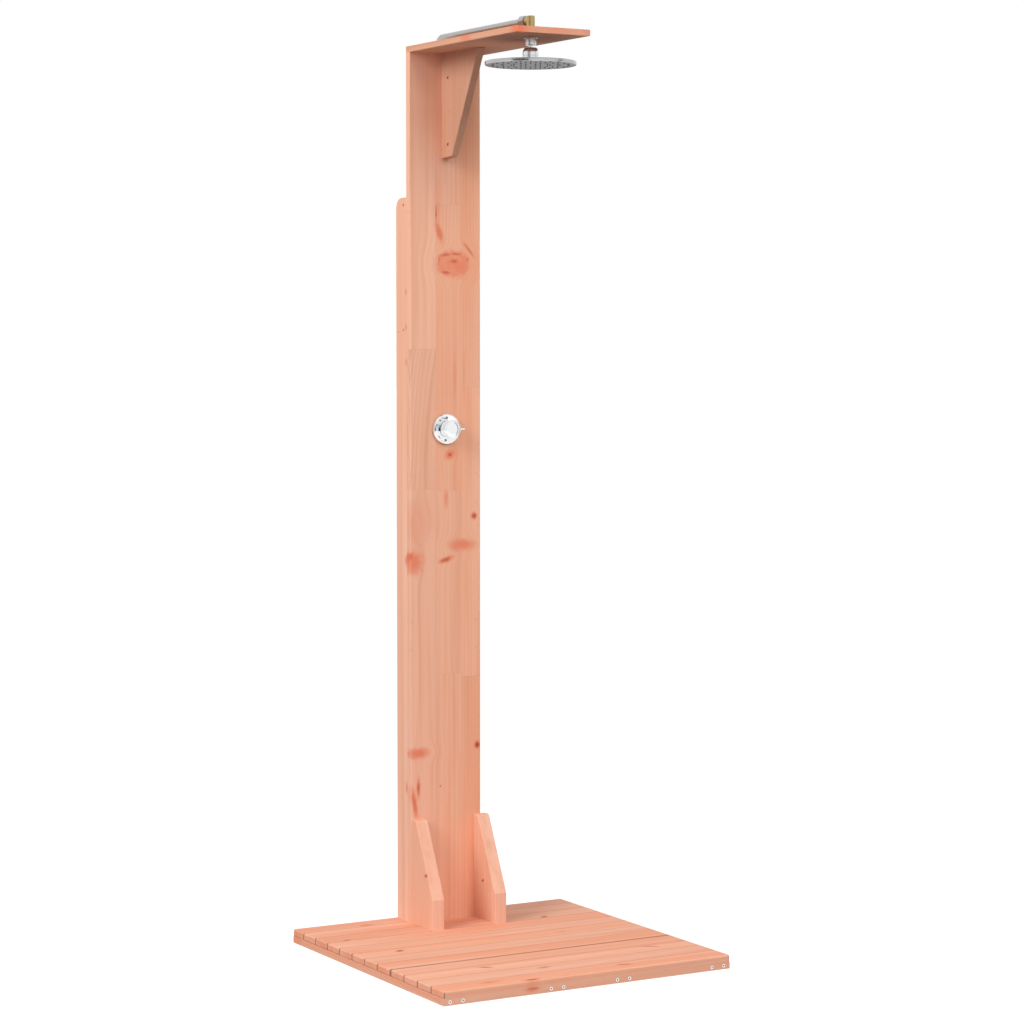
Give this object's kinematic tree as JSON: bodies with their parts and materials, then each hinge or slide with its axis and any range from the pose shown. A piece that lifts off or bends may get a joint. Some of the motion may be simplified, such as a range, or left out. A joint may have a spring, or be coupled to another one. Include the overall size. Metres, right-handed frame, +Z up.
{
  "type": "outdoor shower post",
  "caption": "Free-standing wooden outdoor shower: plank deck, channel post with gussets, top board with bracket, tilting round rain head, quarter-turn pin valve and riser pipe.",
  "frame": {"origin": "on the floor under the middle of the deck", "axes": "+X to the right seen from the user's side, +Y from the deck's front to the post, +Z up"},
  "size_m": [0.7, 0.706, 2.039],
  "materials": {
    "deck_wood": "oiled",
    "post_wood": "oiled",
    "screw_steel": "satin",
    "pipe_steel": "satin",
    "brass": "satin",
    "ceramic": "polished",
    "black_rubber": "matte",
    "chrome": "polished",
    "polished_steel": "polished",
    "liner_plastic": "matte",
    "plate_grey": "satin",
    "nozzle_rubber": "matte"
  },
  "bodies": {
    "post": {"plank_01": "deck_wood", "plank_02": "deck_wood", "plank_03": "deck_wood", "plank_04": "deck_wood", "plank_05": "deck_wood", "plank_06": "deck_wood", "plank_07": "deck_wood", "plank_08": "deck_wood", "plank_09": "deck_wood", "plank_10": "deck_wood", "plank_11": "deck_wood", "plank_12": "deck_wood", "bearer_1": "deck_wood", "bearer_2": "deck_wood", "bearer_3": "deck_wood", "bearer_4": "deck_wood", "front_rail": "deck_wood", "rear_rail": "deck_wood", "front_board": "post_wood", "side_board_left": "post_wood", "side_board_right": "post_wood", "top_board": "post_wood", "top_bracket": "post_wood", "gusset_left": "post_wood", "gusset_right": "post_wood", "rail_screws": "screw_steel", "foot_screws": "screw_steel", "gusset_screws": "screw_steel", "bracket_screws": "screw_steel", "top_board_screws": "screw_steel", "pan_screws": "screw_steel", "riser_pipe": "pipe_steel", "pipe_clips": "pipe_steel", "pipe_nuts": "pipe_steel", "board_washer": "pipe_steel", "elbow": "brass", "pipe_olives": "brass", "valve_body": "brass", "valve_cartridge": "brass", "fixed_disc": "ceramic", "cartridge_seal": "black_rubber", "rosette_gasket": "black_rubber", "rosette": "chrome", "valve_sleeve": "chrome", "ball_stem": "polished_steel"},
    "valve_handle": {"handle": "chrome", "handle_cap": "polished_steel", "lever_pin": "chrome", "spindle": "chrome", "moving_disc": "ceramic"},
    "ball_tilt": {"ball_liner_upper": "liner_plastic"},
    "ball_nod": {"ball_liner_lower": "liner_plastic"},
    "head": {"ball_nut": "polished_steel", "ball_seal": "black_rubber", "head_shell": "polished_steel", "nozzle_plate": "plate_grey", "nozzles": "nozzle_rubber", "plate_ring": "black_rubber"}
  },
  "joints": [
    {"name": "valve_turn", "type": "hinge", "parent": "post", "child": "valve_handle", "pos_m": [0, 0.2575, 1.15], "axis": [0, -1, 0], "range_deg": [0, 90]},
    {"name": "head_nod", "type": "hinge", "parent": "post", "child": "ball_tilt", "pos_m": [0, -0.102, 1.958], "axis": [1, 0, 0], "range_deg": [-12, 12]},
    {"name": "head_tilt", "type": "hinge", "parent": "ball_tilt", "child": "ball_nod", "pos_m": [0, -0.102, 1.958], "axis": [0, 1, 0], "range_deg": [-12, 12]},
    {"name": "head_swivel", "type": "hinge", "parent": "ball_nod", "child": "head", "pos_m": [0, -0.102, 1.958], "axis": [0, 0, 1], "continuous": true}
  ]
}
